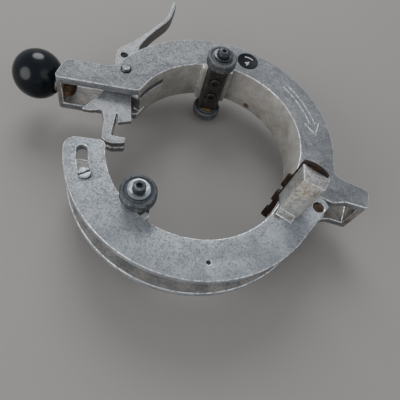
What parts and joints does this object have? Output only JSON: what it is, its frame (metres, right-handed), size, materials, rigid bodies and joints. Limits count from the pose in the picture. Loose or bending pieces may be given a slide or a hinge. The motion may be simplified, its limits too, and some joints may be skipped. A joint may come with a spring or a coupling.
{
  "type": "pipe tool frame",
  "caption": "Hinged clamp-on pipe tool frame: two C-shaped cast arms, guide rollers, blade post, over-centre latch with hook, and a ball-knob turning handle.",
  "frame": {"origin": "centre of the upper arm's C-shaped ring, halfway through its depth", "axes": "+Z along the pipe's axis, towards the tool post's free end; +X towards the hinge and the loop; the ball knob is at -X"},
  "size_m": [0.3151, 0.272, 0.1105],
  "materials": {
    "cast_aluminium": "satin as-cast, worn bright on the edges",
    "black_ball": "polished",
    "rusty_steel": "rusty",
    "dark_steel": "blackened",
    "bright_steel": "zinc plated",
    "roller_steel": "matt, dark",
    "bronze": "satin",
    "label_black": "printed plate"
  },
  "bodies": {
    "frame": {"upper_arm": "cast_aluminium", "ball_knob": "black_ball", "knob_collar": "cast_aluminium", "knob_bolt": "rusty_steel", "size_label": "label_black", "lever_pivot_pin": "bright_steel", "lever_pivot_clip": "bright_steel", "lever_spacers": "bright_steel", "upper_axle_block": "dark_steel", "upper_block_screws": "dark_steel", "upper_roller_bushes": "bronze", "upper_roller_bolts": "dark_steel", "upper_thrust_washers": "bronze", "upper_cap_washers": "dark_steel"},
    "jaw": {"lower_arm": "cast_aluminium", "hinge_pin": "rusty_steel", "hinge_clip": "bright_steel", "tool_post": "cast_aluminium", "post_screws": "dark_steel", "blade": "rusty_steel", "blade_screws": "dark_steel", "catch_pin": "bright_steel", "catch_sleeve": "bright_steel", "catch_washer": "bright_steel", "catch_nut": "bright_steel", "lower_axle_block": "dark_steel", "lower_block_screws": "dark_steel", "lower_roller_bushes": "bronze", "lower_roller_bolts": "dark_steel", "lower_thrust_washers": "bronze", "lower_cap_washers": "bright_steel"},
    "lever": {"latch_lever": "cast_aluminium"},
    "link": {"link_pin": "bright_steel"},
    "hook": {"latch_hook": "cast_aluminium"},
    "upper_top_roller": {"upper_roller_top": "roller_steel"},
    "upper_bottom_roller": {"upper_roller_bottom": "roller_steel"},
    "lower_top_roller": {"lower_roller_top": "roller_steel"},
    "lower_bottom_roller": {"lower_roller_bottom": "roller_steel"}
  },
  "joints": [
    {"name": "jaw_hinge", "type": "hinge", "parent": "frame", "child": "jaw", "pos_m": [0.0972, -0.0294, 0], "axis": [0, 0, 1], "range_deg": [-16.1, 20]},
    {"name": "latch_lever", "type": "hinge", "parent": "frame", "child": "lever", "pos_m": [-0.0911, 0.0201, 0], "axis": [0, 0, 1], "range_deg": [-24, 62]},
    {"name": "link_pin_turn", "type": "hinge", "parent": "lever", "child": "link", "pos_m": [-0.09735, 0.03093, 0], "axis": [0, 0, 1], "range_deg": [-62, 24]},
    {"name": "hook_swing", "type": "hinge", "parent": "link", "child": "hook", "pos_m": [-0.09735, 0.03093, 0], "axis": [0, 0, 1], "range_deg": [-23, 28.5]},
    {"name": "upper_top_roller_turn", "type": "hinge", "parent": "frame", "child": "upper_top_roller", "pos_m": [-0.02153, 0.06218, 0.0317], "axis": [0, 0, 1], "continuous": true},
    {"name": "upper_bottom_roller_turn", "type": "hinge", "parent": "frame", "child": "upper_bottom_roller", "pos_m": [-0.02153, 0.06218, -0.0317], "axis": [0, 0, 1], "continuous": true},
    {"name": "lower_top_roller_turn", "type": "hinge", "parent": "jaw", "child": "lower_top_roller", "pos_m": [-0.02985, -0.0893, 0.0317], "axis": [0, 0, 1], "continuous": true},
    {"name": "lower_bottom_roller_turn", "type": "hinge", "parent": "jaw", "child": "lower_bottom_roller", "pos_m": [-0.02985, -0.0893, -0.0317], "axis": [0, 0, 1], "continuous": true}
  ],
  "couplings": [
    {"joint": "link_pin_turn", "follows": "latch_lever", "ratio": -1},
    {"joint": "hook_swing", "follows": "jaw_hinge", "ratio": 1.41}
  ]
}
